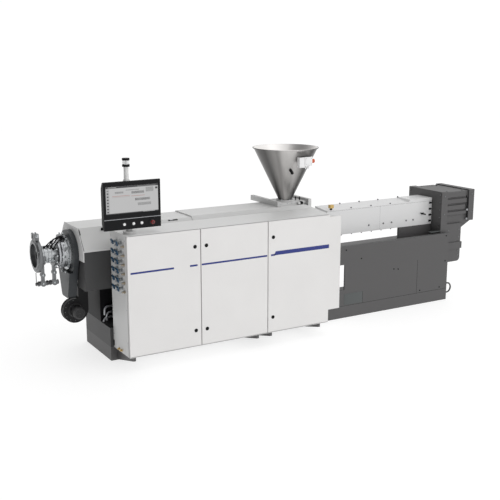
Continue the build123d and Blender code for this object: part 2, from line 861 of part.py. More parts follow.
def lower_gear_case():
    """The lower case with its rounded bottom corner and the proud band round it."""
    near = centre_y - gear_width / 2
    far = centre_y + gear_width / 2
    case = block(base_right, lower_case_right, near, far, lower_case_bottom, lower_case_top)
    corner = case.edges().filter_by(Axis.Y).group_by(Axis.Z)[0].sort_by(Axis.X)[-1]
    case = fillet(corner, case_corner)
    return case + block(base_right, lower_case_right + band_proud, near - band_proud, far + band_proud, band_bottom,
                        band_top)


def gear_stand():
    """The stand on the deck under the duct's gear end and under the gear unit's front plate."""
    near = centre_y - gear_width / 2
    duct_near = centre_y - duct_width / 2
    stand = block(gear_left, base_right, near, near + gear_width, deck_top, gear_bottom)
    return stand + block(duct_stand_left, gear_left, duct_near, duct_near + duct_stand_thick, deck_top, duct_bottom)


def lubricator():
    """The grease block on the duct's left end, on a short pipe."""
    x = feed_end + 78
    y = centre_y - duct_width / 2 + 34
    foot = round_z(x, y, 12, duct_top, duct_top + 22)
    return foot + block(x - 25, x + 25, y - 22, y + 22, duct_top + 22, duct_top + 62)


pieces = {
    "base_frame": base_frame(),
    "die_end_stand": die_end_stand(),
    "barrel_support": barrel_support(),
    "cabinet_arms": cabinet_arms(),
    "cabinet_roof": cabinet_roof(),
    "cabinet_floor": cabinet_floor(),
    "cabinet_back": cabinet_back(),
    "cabinet_uprights": cabinet_uprights(),
    "mounting_plates": mounting_plates(),
    "door_left": door(0, door_sides[0]),
    "door_middle": door(1, door_sides[1]),
    "door_right": door(2, door_sides[2]),
    "feed_panel": feed_panel(),
    "drive_cladding": drive_cladding(),
    "drive_bay": drive_bay(),
    "lifting_eyes": lifting_eyes(),
    "barrel_housing": barrel_housing(),
    "lower_body": lower_body(),
    "feed_cover": feed_cover(),
    "hood_front": hood_front(),
    "hood_rear": hood_rear(),
    "hood_collar": hood_collar(),
    "head_plate": head_plate(),
    "head_adapter": head_adapter(),
    "heater_box": heater_box(),
    "head_ring": head_ring(),
    "ring_lugs": ring_lugs(),
    "swing_bolt": swing_bolt(),
    "head_hangers": head_hangers(),
    "tie_rod": tie_rod(),
    "blower_volute": blower_volute(),
    "blower_motor": blower_motor(),
    "valve_bodies": valve_bodies(),
    "valve_handles": valve_handles(),
    "hose_fittings": hose_fittings(),
    "panel_foot": panel_foot(),
    "panel_housing": panel_housing(),
    "panel_screen": panel_screen(),
    "panel_buttons": panel_buttons(),
    "emergency_stop": emergency_stop(),
    "beacon_pole": beacon_pole(),
    "beacon_bands": beacon_bands(),
    "beacon_lens": beacon_lens(),
    "hopper_cone": hopper_cone(),
    "hopper_slide": hopper_slide(),
    "hopper_rails": hopper_rails(),
    "level_sensor": level_sensor(),
    "sensor_cap": sensor_cap(),
    "shaft_duct": shaft_duct(),
    "gear_plate_front": gear_plate_front(),
    "gear_housing": gear_housing(),
    "gear_plate_rear": gear_plate_rear(),
    "lower_gear_case": lower_gear_case(),
    "gear_stand": gear_stand(),
    "lubricator": lubricator(),
}

middle_x = (ring_left + rear_plate_left + rear_plate_thick) / 2
middle_y = (hopper_rail_back - lock_proud) / 2
os.makedirs("parts", exist_ok=True)
for name, shape in pieces.items():
    export_step(Pos(-middle_x, -middle_y, 0) * shape, f"parts/{name}.step")
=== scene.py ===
import math

import bpy
import numpy as np
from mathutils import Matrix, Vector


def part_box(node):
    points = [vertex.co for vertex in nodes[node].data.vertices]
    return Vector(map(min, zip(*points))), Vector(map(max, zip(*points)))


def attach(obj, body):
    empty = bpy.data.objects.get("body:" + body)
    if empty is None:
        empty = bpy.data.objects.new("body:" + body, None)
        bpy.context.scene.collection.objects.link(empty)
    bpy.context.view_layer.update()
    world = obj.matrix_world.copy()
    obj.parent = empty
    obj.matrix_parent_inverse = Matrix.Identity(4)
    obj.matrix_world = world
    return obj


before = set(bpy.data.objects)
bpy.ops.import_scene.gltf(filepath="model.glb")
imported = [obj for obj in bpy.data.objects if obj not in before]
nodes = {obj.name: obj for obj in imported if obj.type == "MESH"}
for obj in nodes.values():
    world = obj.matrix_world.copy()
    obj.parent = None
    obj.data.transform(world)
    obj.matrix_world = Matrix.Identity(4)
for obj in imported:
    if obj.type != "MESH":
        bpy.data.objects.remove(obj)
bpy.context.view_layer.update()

scene = bpy.context.scene

# The studio: a bright floor that runs to the horizon, a white surround that lights less from the die-end
# side, two soft lamps, and the camera in front of the die end, a little above the hopper.

AXIS_ORDER = {"x": (0, 1, 2), "y": (1, 0, 2), "z": (1, 2, 0)}


def spans(node):
    """A CAD node's lowest and highest corners, in millimetres from the cabinet's left front corner at the
    floor."""
    return [(np.array(end) - corner) * 1000 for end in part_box(node)]


corner = np.array([*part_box("cabinet_floor")[0][:2], 0.0])


class Wire:
    """A number socket in a material, so that shading sums are written as plain arithmetic."""

    def __init__(self, finish, socket):
        self.finish = finish
        self.socket = socket

    def sum(self, operation, *others, clamp=False):
        return self.finish.math(operation, self, *others, clamp=clamp)

    def __add__(self, other):
        return self.sum("ADD", other)

    __radd__ = __add__

    def __sub__(self, other):
        return self.sum("SUBTRACT", other)

    def __rsub__(self, other):
        return self.finish.math("SUBTRACT", other, self)

    def __mul__(self, other):
        return self.sum("MULTIPLY", other)

    __rmul__ = __mul__

    def __truediv__(self, other):
        return self.sum("DIVIDE", other)

    def __gt__(self, other):
        return self.sum("GREATER_THAN", other)

    def __lt__(self, other):
        return self.sum("LESS_THAN", other)

    def clipped(self):
        return self.sum("ADD", 0.0, clamp=True)

    def fraction(self):
        return self.sum("FRACT")


class Finish:
    """A surface finish for one of the record's slots, with short ways to add textures and sums to its
    shader."""

    def __init__(self, name, slot, colour, roughness, metallic=0.0, **constants):
        self.material = bpy.data.materials.new(name)
        self.material.use_nodes = True
        self.material.diffuse_color = (*colour, 1.0)
        self.slot = slot
        self.tree = self.material.node_tree
        self.shader = self.tree.nodes["Principled BSDF"]
        self.colour = colour
        self.shader.inputs["Base Color"].default_value = (*colour, 1.0)
        self.shader.inputs["Roughness"].default_value = roughness
        self.shader.inputs["Metallic"].default_value = metallic
        for socket, value in constants.items():
            self.shader.inputs[socket.replace("_", " ")].default_value = value
        self.place = self.node("ShaderNodeTexCoord").outputs["Object"]
        split = self.node("ShaderNodeSeparateXYZ", values={"Vector": self.place})
        self.x, self.y, self.z = (Wire(self, split.outputs[axis]) for axis in "XYZ")

    def node(self, kind, settings=None, values=None):
        """Any node, from its type, its settings and the values or links of its sockets."""
        made = self.tree.nodes.new(kind)
        for key, value in (settings or {}).items():
            setattr(made, key, value)
        for key, value in (values or {}).items():
            self.feed(made.inputs[key], value)
        return made

    def feed(self, socket, value):
        """Links a socket to another, or gives it a value."""
        if isinstance(value, Wire):
            value = value.socket
        if isinstance(value, bpy.types.NodeSocket):
            self.tree.links.new(value, socket)
        else:
            socket.default_value = value

    def math(self, operation, *terms, clamp=False):
        made = self.node("ShaderNodeMath", {"operation": operation, "use_clamp": clamp})
        for socket, term in zip(made.inputs, terms):
            self.feed(socket, term)
        return Wire(self, made.outputs[0])

    def vector(self, x, y, z):
        return self.node("ShaderNodeCombineXYZ", values={"X": x, "Y": y, "Z": z}).outputs[0]

    def noise(self, scale, detail=2.0, roughness=0.5, vector=None):
        made = self.node("ShaderNodeTexNoise", values={
            "Vector": vector or self.place, "Scale": scale, "Detail": detail, "Roughness": roughness})
        return Wire(self, made.outputs["Fac"])

    def mix(self, share, first, second):
        """A colour between two colours."""
        made = self.node("ShaderNodeMix", {"data_type": "RGBA"})
        self.feed(made.inputs["Factor"], share)
        for socket, value in (("A", first), ("B", second)):
            entry = [s for s in made.inputs if s.name == socket and s.type == "RGBA"][0]
            self.feed(entry, (*value, 1.0) if isinstance(value, tuple) else value)
        return [s for s in made.outputs if s.type == "RGBA"][0]

    def vary(self, share, darker, lighter):
        """The base colour drifts between two multiples of itself."""
        tones = [tuple(min(1.0, c * factor) for c in self.colour) for factor in (darker, lighter)]
        return self.set("Base Color", self.mix(share, *tones))

    def set(self, socket, value):
        self.feed(self.shader.inputs[socket], value)
        return self

    def bump(self, height, depth):
        """Raises the surface by height times depth, in metres."""
        made = self.node("ShaderNodeBump", values={"Height": height, "Distance": depth, "Strength": 1.0})
        return self.set("Normal", made.outputs[0])


def surface(name, grids, finish, body=None, closed_u=False, closed_v=True):
    """A mesh from grids of places in millimetres: grids[..., i, j] is the place at step i along u and step j
    along v of each copy. The faces are turned round where the sum of each face's place times its area vector,
    three times the enclosed volume, is negative. A piece without a body belongs to the studio."""
    rows, columns = grids.shape[-3:-1]
    index = np.arange(rows * columns).reshape(rows, columns)
    if closed_u:
        index = np.vstack([index, index[:1]])
    if closed_v:
        index = np.hstack([index, index[:, :1]])
    faces = np.stack([index[:-1, :-1], index[1:, :-1], index[1:, 1:], index[:-1, 1:]], axis=-1).reshape(-1, 4)
    places = grids.reshape(-1, rows * columns, 3)
    a, b, c, d = np.moveaxis(places[0][faces] - places[0].mean(axis=0), 1, 0)
    if np.sum(a * (np.cross(b, c) + np.cross(c, d))) < 0:
        faces = faces[:, ::-1]
    starts = np.arange(len(places))[:, None, None] * rows * columns
    mesh = bpy.data.meshes.new(name)
    vertices = corner + places.reshape(-1, 3) / 1000
    mesh.from_pydata(vertices.tolist(), [], (faces + starts).reshape(-1, 4).tolist())
    mesh.shade_smooth()
    mesh.set_sharp_from_angle(angle=math.radians(35))
    mesh.materials.append(finish.material)
    made = bpy.data.objects.new(name, mesh)
    scene.collection.objects.link(made)
    if body:
        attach(made, body)
    return made


def softbox(name, place, target, size, power):
    """A rectangular lamp at a place, turned to face a target."""
    light = bpy.data.lights.new(name, "AREA")
    light.shape = "RECTANGLE"
    light.size, light.size_y = size
    light.energy = power
    lamp = bpy.data.objects.new(name, light)
    lamp.location = place
    aim = np.array(target, float) - np.array(place, float)
    flat = math.hypot(aim[0], aim[1])
    lamp.rotation_euler = (math.atan2(flat, -aim[2]), 0.0, math.atan2(-aim[0], aim[1]))
    scene.collection.objects.link(lamp)


floor_half = 30000.0
floor_finish = Finish("studio_floor", None, (0.36, 0.36, 0.36), 0.8, Emission_Color=(1.0, 1.0, 1.0, 1.0),
                      Emission_Strength=0.72)
floor_finish.vary(floor_finish.noise(0.8), 0.995, 1.0)
floor_u, floor_v = np.meshgrid(np.linspace(-1, 1, 9), np.linspace(-1, 1, 9), indexing="ij")
floor_places = np.stack([floor_u, floor_v, floor_u * 0], axis=-1) * floor_half
surface("studio_floor", floor_places, floor_finish, closed_v=False)

scene.view_settings.view_transform = "Standard"
world = bpy.data.worlds.new("studio")
scene.world = world
world.use_nodes = True
surround = world.node_tree
backdrop = surround.nodes["Background"]
backdrop.inputs["Color"].default_value = (1.0, 1.0, 1.0, 1.0)
direction = surround.nodes.new("ShaderNodeTexCoord")
direction_parts = surround.nodes.new("ShaderNodeSeparateXYZ")
brightness = surround.nodes.new("ShaderNodeMapRange")
for socket, value in (("From Min", -0.85), ("From Max", 0.15), ("To Min", 0.12), ("To Max", 1.02)):
    brightness.inputs[socket].default_value = value
ray = surround.nodes.new("ShaderNodeLightPath")
seen_white = surround.nodes.new("ShaderNodeMath")
seen_white.operation = "MAXIMUM"
surround.links.new(direction.outputs["Generated"], direction_parts.inputs["Vector"])
surround.links.new(direction_parts.outputs["X"], brightness.inputs["Value"])
surround.links.new(brightness.outputs["Result"], seen_white.inputs[0])
surround.links.new(ray.outputs["Is Camera Ray"], seen_white.inputs[1])
surround.links.new(seen_white.outputs[0], backdrop.inputs["Strength"])

softbox("overhead", (0.5, -1.5, 6.5), (0.5, 0.0, 1.0), (7.0, 4.0), 40)
softbox("front", (3.0, -8.0, 4.0), (0.5, 0.0, 0.8), (5.0, 3.5), 60)

camera_place = (-5.250, -8.190, 3.078)
camera_yaw = math.radians(30.36)
camera_pitch = math.radians(12.64)
camera_data = bpy.data.cameras.new("camera")
camera_data.lens = 61.65
camera_data.sensor_width = 36.0
camera_data.clip_end = 100.0
camera = bpy.data.objects.new("camera", camera_data)
camera.location = camera_place
camera.rotation_euler = (math.radians(90) - camera_pitch, 0.0, -camera_yaw)
scene.collection.objects.link(camera)
scene.camera = camera

# The base is a welded steel channel with the die-end stand, sprayed dark grey. The drive bay's sheet panels
# stand on the channel with a thin dark joint, and quarter-turn studs hold them.


def turns(count, start=0.0):
    """Evenly spaced turns round a circle, in radians."""
    return start + np.arange(count) * 2 * math.pi / count


def spun(profile, axis="x", steps=32):
    """Places of a turned form about the origin: each (along, radius) of the profile goes round the axis, at
    the radius times the cosine and sine of the turn in the two other directions."""
    along, radius = np.array(profile, float).T
    wide = np.outer(radius, np.cos(turns(steps)))
    tall = np.outer(radius, np.sin(turns(steps)))
    return np.stack([np.repeat(along[:, None], steps, axis=1), wide, tall], axis=-1)[..., AXIS_ORDER[axis]]


def prism(outline, axis, start, end):
    """A flat form: an outline in the two other directions carried along the axis from start to end, with each
    end closed by a fan from the outline's middle."""
    outline = np.array(outline, float)
    middle = np.repeat(outline.mean(axis=0)[None], len(outline), axis=0)
    rings = [np.column_stack([np.full(len(ring), along), ring])
             for along, ring in ((start, middle), (start, outline), (end, outline), (end, middle))]
    return np.stack(rings)[..., AXIS_ORDER[axis]]


def bar(x0, x1, y0, y1, z0, z1):
    """A straight-edged bar between two corners."""
    return prism([(y0, z0), (y1, z0), (y1, z1), (y0, z1)], "x", x0, x1)


def rounded(size, radius, steps=4):
    """A block about the origin with rounded edges: eighths of a ball of that radius at its corners, so that
    each place is the corner's ball centre plus the radius times the direction of the ball's surface."""
    core = np.array(size, float) / 2 - radius
    quarter = np.linspace(0, math.pi / 2, steps + 1)
    around = np.concatenate([quarter + k * math.pi / 2 for k in range(4)])
    side = np.repeat([(1, 1), (-1, 1), (-1, -1), (1, -1)], steps + 1, axis=0)
    rise = np.concatenate([quarter - math.pi / 2, quarter])
    level = np.repeat([-1, 1], steps + 1)
    x = side[:, 0] * core[0] + radius * np.outer(np.cos(rise), np.cos(around))
    y = side[:, 1] * core[1] + radius * np.outer(np.cos(rise), np.sin(around))
    z = np.repeat((level * core[2] + radius * np.sin(rise))[:, None], len(around), axis=1)
    middle = np.zeros((1, len(around), 3))
    bottom = middle - [0, 0, size[2] / 2]
    top = middle + [0, 0, size[2] / 2]
    return np.concatenate([bottom, np.stack([x, y, z], axis=-1), top])


def repeated(name, grid, places, finish, body="root", closed_u=False):
    """One piece that holds the same form at several places."""
    surface(name, grid + np.array(places, float)[:, None, None, :], finish, body, closed_u)


def stud(radius, height, axis, toward, steps=12):
    """A round head about the origin, standing out along the axis with a bevelled top."""
    profile = [(0, 0), (0, radius), (height * 0.7, radius), (height, radius * 0.75), (height, 0)]
    return spun([(along * toward, size) for along, size in profile], axis, steps)


def hexagon(radius, height, axis, toward):
    """A hexagon head about the origin, standing out along the axis with a bevelled top."""
    return stud(radius, height, axis, toward, steps=6)


def painted(name, slot, colour, roughness, grain, depth, **constants):
    """Sprayed paint: a slow drift of tone, a fine grain in the film, and duller patches where it is
    handled."""
    finish = Finish(name, slot, colour, roughness, **constants)
    cloud = finish.noise(1.7, 3.0)
    fine = finish.noise(grain, 2.0, 0.6)
    finish.vary(cloud * 0.7 + fine * 0.3, 0.92, 1.06)
    finish.set("Roughness", (cloud * 0.12 + (roughness - 0.06)).clipped())
    return finish.bump(fine, depth)


def dress(finish, *names):
    """Gives CAD nodes a finish."""
    for name in names:
        materials = nodes[name].data.materials
        materials.clear()
        materials.append(finish.material)


dark_paint = painted("dark_paint", "dark_paint", (0.082, 0.080, 0.081), 0.48, 900.0, 0.00012)
# A darker copy of the same dark grey paint, as painted shade on the parts it is given below.
dark_paint_painted_shade = painted("dark_paint_painted_shade", "dark_paint", (0.042, 0.042, 0.043), 0.5, 900.0, 0.00012)
plate_paint = painted("plate_paint", "dark_paint", (0.075, 0.083, 0.083), 0.42, 900.0, 0.0001)
black_paint = painted("black_paint", "black_paint", (0.008, 0.008, 0.009), 0.45, 900.0, 0.00006,
                      Specular_IOR_Level=0.12)
dress(dark_paint, "base_frame", "cabinet_arms", "drive_cladding", "drive_bay")
# The die-end stand and the lifting eyes get the darker copy of the dark paint: painted shade.
dress(dark_paint_painted_shade, "die_end_stand", "lifting_eyes")

(bay_left, bay_front, channel_top), (bay_right, _, bay_top) = spans("drive_cladding")
joint = 1.5
proud = 0.6
seam_x = 4095
seam_top = 585
surface("bay_joints", np.stack([
    bar(bay_left, bay_right, bay_front - proud, bay_front + joint, channel_top - joint, channel_top + joint),
    bar(seam_x - joint, seam_x + joint, bay_front - proud, bay_front + joint, channel_top, seam_top)]),
        black_paint, "root")
cover_left, cover_right = 2953, 3229
cover_low, cover_high = 160, 299
cover_middle = [(cover_left + cover_right) / 2, bay_front - 1, (cover_low + cover_high) / 2]
cover_sheet = 3
surface("bay_small_plate", rounded((cover_right - cover_left, cover_sheet, cover_high - cover_low), 1.2)
        + cover_middle, plate_paint, "root")
surface("bay_plate_edge", bar(cover_right + 2, cover_right + 5, bay_front - proud, bay_front + joint,
                              channel_top, cover_high), black_paint, "root")
bay_studs = [(3200, 712), (3712, 516), (3781, 507), (4560, 520), (4480, 180), (4150, 180), (2970, 840),
             (4560, 850)]
repeated("bay_studs", stud(9, 4, "y", -1), [(x, bay_front, z) for x, z in bay_studs], black_paint)
surface("bay_fold_highlight", bar(bay_left, bay_right, bay_front - 0.4, bay_front + 2, bay_top - 3,
                                  bay_top + 0.2), plate_paint, "root")

# The control cabinet is folded sheet, light grey with off-white textured doors. Black quarter-turn locks hold
# the doors, rubber strips close the gaps, and a blue film stripe runs over the fronts.

light_paint = painted("light_paint", "light_paint", (0.65, 0.65, 0.645), 0.42, 700.0, 0.0001)
door_paint = painted("door_paint", "door_paint", (0.77, 0.76, 0.752), 0.45, 900.0, 0.00008)
zinc = Finish("zinc_plate", "zinc_plate", (0.50, 0.51, 0.53), 0.42, 1.0)
zinc.vary(zinc.noise(5.0, 3.0), 0.8, 1.1).bump(zinc.noise(60.0), 0.0001)
stripe_blue = painted("stripe_blue", "blue_plastic", (0.012, 0.026, 0.20), 0.4, 500.0, 0.00002)
rubber = painted("seal_rubber", "black_paint", (0.03, 0.03, 0.031), 0.7, 600.0, 0.0001)
dress(light_paint, "cabinet_roof", "cabinet_floor", "cabinet_uprights", "cabinet_back")
dress(door_paint, "door_left", "door_middle", "door_right", "feed_panel")
dress(zinc, "mounting_plates")

doors = ("door_left", "door_middle", "door_right")
lock_inset = 60
lock_heights = (324, 1212)
lock_seat = 2.9
lock_profile = [(0, 0), (0, 20), (-4.2, 20), (-5, 19.2), (-5, 0)]
stripe_z = 1008
stripe_tall = 19
film = 0.5
stripe_runs = {
    "door_left": [(32, 501), (680, 766)],
    "door_middle": [(814, 1598)],
    "door_right": [(1646, 1700)],
}
for name in doors:
    (left_edge, _, _), (right_edge, _, _) = spans(name)
    lock_x = right_edge - lock_inset if name == doors[0] else left_edge + lock_inset
    lock_places = [(lock_x, lock_seat, z) for z in lock_heights]
    repeated(f"{name}_locks", spun(lock_profile, "y"), lock_places, black_paint, name)
    stripes = [bar(start, end, -film, film, stripe_z, stripe_z + stripe_tall)
               for start, end in stripe_runs[name]]
    surface(f"{name}_stripe", np.stack(stripes), stripe_blue, name)
band_left, band_right = 1682, 2405
band_low = stripe_z + 4
band_high = stripe_z + 47
band_cut = 24
band_outline = [(band_left, band_low), (band_right, band_low), (band_right, band_high),
                (band_left + band_cut, band_high)]
surface("door_right_band", prism(band_outline, "y", -film, film), stripe_blue, "door_right")

cabinet_bottom = spans("cabinet_floor")[0][2]
cabinet_top = spans("cabinet_roof")[1][2]
post_front = spans("cabinet_uprights")[0][1]
seal_half = 16
seal_depth = 5
seal_short = 12
gap_places = [(spans(a)[1][0] + spans(b)[0][0]) / 2 for a, b in zip(doors, doors[1:])]
surface("door_gap_seals", np.stack([
    bar(x - seal_half, x + seal_half, post_front - seal_depth, post_front, cabinet_bottom + seal_short,
        cabinet_top - seal_short) for x in gap_places]), rubber, "root")
surface("end_seal", bar(1, 14, post_front - seal_depth, post_front - 0.2, cabinet_bottom + 6,
                        cabinet_top - 6), light_paint, "root")
surface("cable_slot", rounded((3, 30, 62), 1.4) + [0, 422, 198], black_paint, "root")
end_screws = [(0, y, z) for y in (45, 405) for z in (300, 640, 1340)]
repeated("cabinet_end_screws", stud(6, 3, "x", -1), end_screws, zinc)

# Barrel housing, lower body and hoods: closed sheet covers. The hoods lift off after their recessed black
# latches are turned, a seam shows where they meet, and a collar closes the die end.


def tube(path, radius, steps=10):
    """A round bar along a path: rings of that radius square to the path's heading, closed to a point at each
    end."""
    path = np.array(path, float)
    heading = np.gradient(path, axis=0)
    heading /= np.linalg.norm(heading, axis=1, keepdims=True)
    reference = np.eye(3)[np.argmin(np.abs(heading).sum(axis=0))]
    side = np.cross(heading, reference)
    side /= np.linalg.norm(side, axis=1, keepdims=True)
    rise = np.cross(side, heading)
    turn = turns(steps)[:, None]
    ring = np.cos(turn) * side[:, None] + np.sin(turn) * rise[:, None]
    body = path[:, None] + radius * ring
    start, end = (np.repeat(place[None, None], steps, axis=1) for place in (path[0], path[-1]))
    return np.concatenate([start, body, end])


def straight(start, end, parts=8):
    """Evenly spaced places from start to end."""
    return np.linspace(start, end, parts)


def turned(grid, axis, angle):
    """A form turned about an axis through the origin: the two directions that follow the axis mix by the
    cosine and sine of the angle."""
    first, second = {"x": (1, 2), "y": (2, 0), "z": (0, 1)}[axis]
    made = grid.copy()
    made[..., first] = grid[..., first] * math.cos(angle) - grid[..., second] * math.sin(angle)
    made[..., second] = grid[..., first] * math.sin(angle) + grid[..., second] * math.cos(angle)
    return made


# The barrel housing and the lower body get the darker copy of the dark paint: painted shade.
dress(dark_paint_painted_shade, "barrel_housing", "lower_body")
# The barrel support is painted black as painted shade: it stands in the shadow under the barrel housing.
dress(black_paint, "barrel_support")
dress(light_paint, "hood_front", "hood_rear", "hood_collar", "feed_cover")

(hood_left, hood_near, hood_low), (_, hood_far, hood_top) = spans("hood_front")
middle_y = (hood_near + hood_far) / 2
fold_half = 200
fold_y = middle_y - fold_half
shoulder_z = hood_low + 14
slope = np.array([fold_y - hood_near, hood_top - shoulder_z])
slope_tilt = math.atan2(slope[1], slope[0])


def on_slope(x, share, lift=0.0):
    """A place on the front hood's near slope: share 0 at its lower edge and 1 at the fold, lifted square
    to it."""
    y, z = np.array([hood_near, shoulder_z]) + share * slope
    return np.array([x, y - lift * math.sin(slope_tilt), z + lift * math.cos(slope_tilt)])


latch_cup = turned(rounded((110, 15, 3), 1.2), "x", slope_tilt)
latch_lever = turned(rounded((36, 9, 8), 3.0), "x", slope_tilt)
latch_places = [on_slope(x, 0.945, 0.4) for x in (776, 1590)]
repeated("hood_latch_cups", latch_cup, latch_places, black_paint)
repeated("hood_latch_levers", latch_lever, [place + [-20, 0, 2] for place in latch_places], zinc)
hood_line = [(hood_near - 0.5, shoulder_z), (fold_y, hood_top + 0.5), (middle_y + fold_half, hood_top + 0.5),
             (hood_far + 0.5, shoulder_z)]
surface("hood_seam", tube([(hood_left, y, z) for y, z in hood_line], 2.6), rubber, "root")
knob_tilt = slope_tilt - math.pi / 2 + 1.2
surface("hood_knob", turned(stud(13, 24, "z", 1, 20), "x", knob_tilt) + on_slope(-31, 0.84), black_paint,
        "root")
collar_left = spans("hood_collar")[0][0]
collar_handle = turned(rounded((9, 64, 4), 1.8), "x", slope_tilt)
surface("collar_handle", collar_handle + on_slope(collar_left + 12, 0.80, 12.5), black_paint, "root")
surface("housing_plug", rounded((3, 30, 44), 1.4) + [hood_left - 1, 684, 834], door_paint, "root")
pipe_turn = np.linspace(0, math.pi / 2, 7)
pipe_bend = 40
pipe_y = spans("barrel_support")[0][1] - 26
for index, (x, z) in enumerate(((-18, 520), (4, 455), (-30, 400))):
    elbow = [(x + 60 - pipe_bend * math.cos(a), pipe_y, z - pipe_bend + pipe_bend * math.sin(a))
             for a in pipe_turn]
    pipe_path = [(x + 20, pipe_y, z - 90), *elbow, (x + 130, pipe_y, z)]
    surface(f"recess_pipe_{index}", tube(pipe_path, 13), zinc, "root")

# The head: a turned steel adapter bolted to the dark plate, a heater box on its drum, and the clamp ring held
# by a swing bolt. Two hangers and a threaded rod under it carry the ring when it is opened.


def machined(name, slot, colour, roughness, streak):
    """Turned or brushed metal: fine streaks stretched along one direction, and a slow drift of tone."""
    finish = Finish(name, slot, colour, roughness, metallic=1.0)
    stretched = finish.node("ShaderNodeMapping", values={"Vector": finish.place, "Scale": streak}).outputs[0]
    lines = finish.noise(1.0, 3.0, 0.6, stretched)
    cloud = finish.noise(6.0, 2.0)
    finish.vary(lines * 0.6 + cloud * 0.4, 0.72, 1.15)
    finish.set("Roughness", (lines * 0.2 + (roughness - 0.1)).clipped())
    return finish.bump(lines, 0.00008)


def round_places(middle, radius, turn, axis="x"):
    """Places on a circle about an axis through the middle: the radius times the cosine and sine of each turn
    in the two other directions."""
    ring = np.stack([turn * 0, np.cos(turn), np.sin(turn)], axis=-1)[..., AXIS_ORDER[axis]]
    return np.array(middle) + radius * ring


def hoop(half_wide, radius, thick):
    """A flat hoop round the X axis, open on the side that lies on the metal."""
    outer = radius + thick
    return spun([(-half_wide, radius), (-half_wide, outer), (half_wide, outer), (half_wide, radius)], "x", 64)


bright_steel = machined("bright_steel", "machined_steel", (0.50, 0.525, 0.535), 0.24, (420.0, 25.0, 25.0))
drum_steel = machined("drum_steel", "machined_steel", (0.46, 0.475, 0.485), 0.27, (420.0, 25.0, 25.0))
dark_steel = machined("dark_steel", "dark_steel", (0.19, 0.195, 0.20), 0.36, (120.0, 60.0, 60.0))
# The head plate's paint has a blue tint of its own and is made far darker than the dark paint as painted shade
# at the die end.
blued_paint_painted_shade = painted("blued_paint_painted_shade", "dark_paint", (0.026, 0.030, 0.034), 0.42, 900.0, 0.00012)
thread_steel = Finish("thread_steel", "dark_steel", (0.20, 0.20, 0.205), 0.38, 1.0)
thread_pitch = 0.0035
# The thread's crests are painted lighter and its grooves darker along the pitch: painted highlight and painted
# shade, beside the bump.
thread_wave = thread_steel.math("SINE", thread_steel.x * (2 * math.pi / thread_pitch))
thread_steel.vary(thread_wave * 0.5 + 0.5, 0.6, 1.2).bump(thread_wave, 0.0006)
dress(blued_paint_painted_shade, "head_plate")
dress(drum_steel, "head_adapter", "swing_bolt")
dress(dark_steel, "heater_box", "head_ring", "ring_lugs", "head_hangers")
dress(thread_steel, "tie_rod")

(ring_left, ring_near, ring_low), (ring_right, ring_far, ring_high) = spans("head_ring")
axis_y = (ring_near + ring_far) / 2
axis_z = (ring_low + ring_high) / 2
barrel_axis = np.array([0, axis_y, axis_z])
plate_left = spans("head_plate")[0][0]
flange_left = plate_left - 22
drum_left = plate_left - 95
drum_radius = 150
neck_radius = 85
bolt_rows = (
    ("head_plate_bolts", hexagon(13, 12, "x", -1), plate_left, 204, turns(12, 0.13), bright_steel),
    ("head_flange_bolts", stud(7, 7, "x", -1), flange_left, 165, turns(16, 0.1), dark_steel),
    ("head_drum_bolts", stud(10, 15, "x", -1), drum_left, 132, turns(12), bright_steel),
    ("head_ring_screws", stud(6, 4, "x", -1, 8), ring_left + 8, 160, turns(8, 0.39), bright_steel),
    ("head_neck_bolts", stud(6, 9, "x", 1), ring_right + 16, 98, turns(10, 0.3), bright_steel),
)
for name, bolt, x, radius, turn, finish in bolt_rows:
    repeated(name, bolt, round_places((x, axis_y, axis_z), radius, turn), finish)
strap_places = [(x, axis_y, axis_z) for x in (drum_left + 22, drum_left + 58)]
repeated("heater_straps", hoop(9, drum_radius, 4), strap_places, zinc)

(box_left, box_near, _), (box_right, box_far, box_top) = spans("heater_box")
surface("heater_box_lid", rounded((box_right - box_left - 8, box_far - box_near - 38, 5), 2.0)
        + [(box_left + box_right) / 2, axis_y, box_top - 0.5], dark_steel, "root")
gland_profile = [(0, 0), (0, 13), (-8, 13), (-10, 9), (-20, 9), (-22, 0)]
repeated("heater_box_glands", spun(gland_profile, "y", 20),
         [(x, box_near, box_top - 30) for x in (box_left + 20, box_right - 20)], black_paint)

(hanger_left, _, tie_low), (hanger_right, _, _) = spans("head_hangers")
tie_z = tie_low + 31
pin_y = axis_y - 21
light_hanger_x = hanger_left + 31
heavy_hanger_x = hanger_right - 31
pins = [(light_hanger_x, tie_z), (light_hanger_x, 915), (heavy_hanger_x, tie_z), (heavy_hanger_x, 930)]
repeated("hanger_pins", stud(11, 6, "y", -1, 16), [(x, pin_y, z) for x, z in pins], bright_steel)

band_places = barrel_axis + [(x, 0, 0) for x in (-586, -545, -510)]
clamp_drop = 46
repeated("neck_heaters", hoop(11, neck_radius, 7), band_places, drum_steel)
repeated("neck_heater_clamps", rounded((26, 22, 30), 4.0), band_places - [0, 82, clamp_drop], bright_steel)
repeated("neck_clamp_bolts", stud(6, 34, "y", -1, 12), band_places - [0, 86, clamp_drop], bright_steel)
cable_starts = np.array([(-388, -58, 178), (-396, -50, 186), (-404, -60, 170), (-384, -64, 160)])
cable_ends = np.array([(-516, -52, 82), (-548, -40, 84), (-586, -46, 80), (-500, -70, 60)])
cable_sway = [-8, -26, 34]
along = np.linspace(0, 1, 15)[:, None]
cables = [tube(barrel_axis + (1 - along) * start + along * end + np.sin(along * math.pi) * cable_sway, 6)
          for start, end in zip(cable_starts, cable_ends)]
surface("heater_cables", np.stack(cables), black_paint, "root")
repeated("neck_sockets", rounded((22, 20, 30), 4.0), barrel_axis + cable_ends + [0, 0, 4], black_paint)
surface("drum_plug", spun([(0, 0), (0, 17), (-10, 17), (-13, 12), (-13, 0)], "y", 24)
        + [drum_left + 52, axis_y - drum_radius + 1, axis_z - 8], bright_steel, "root")

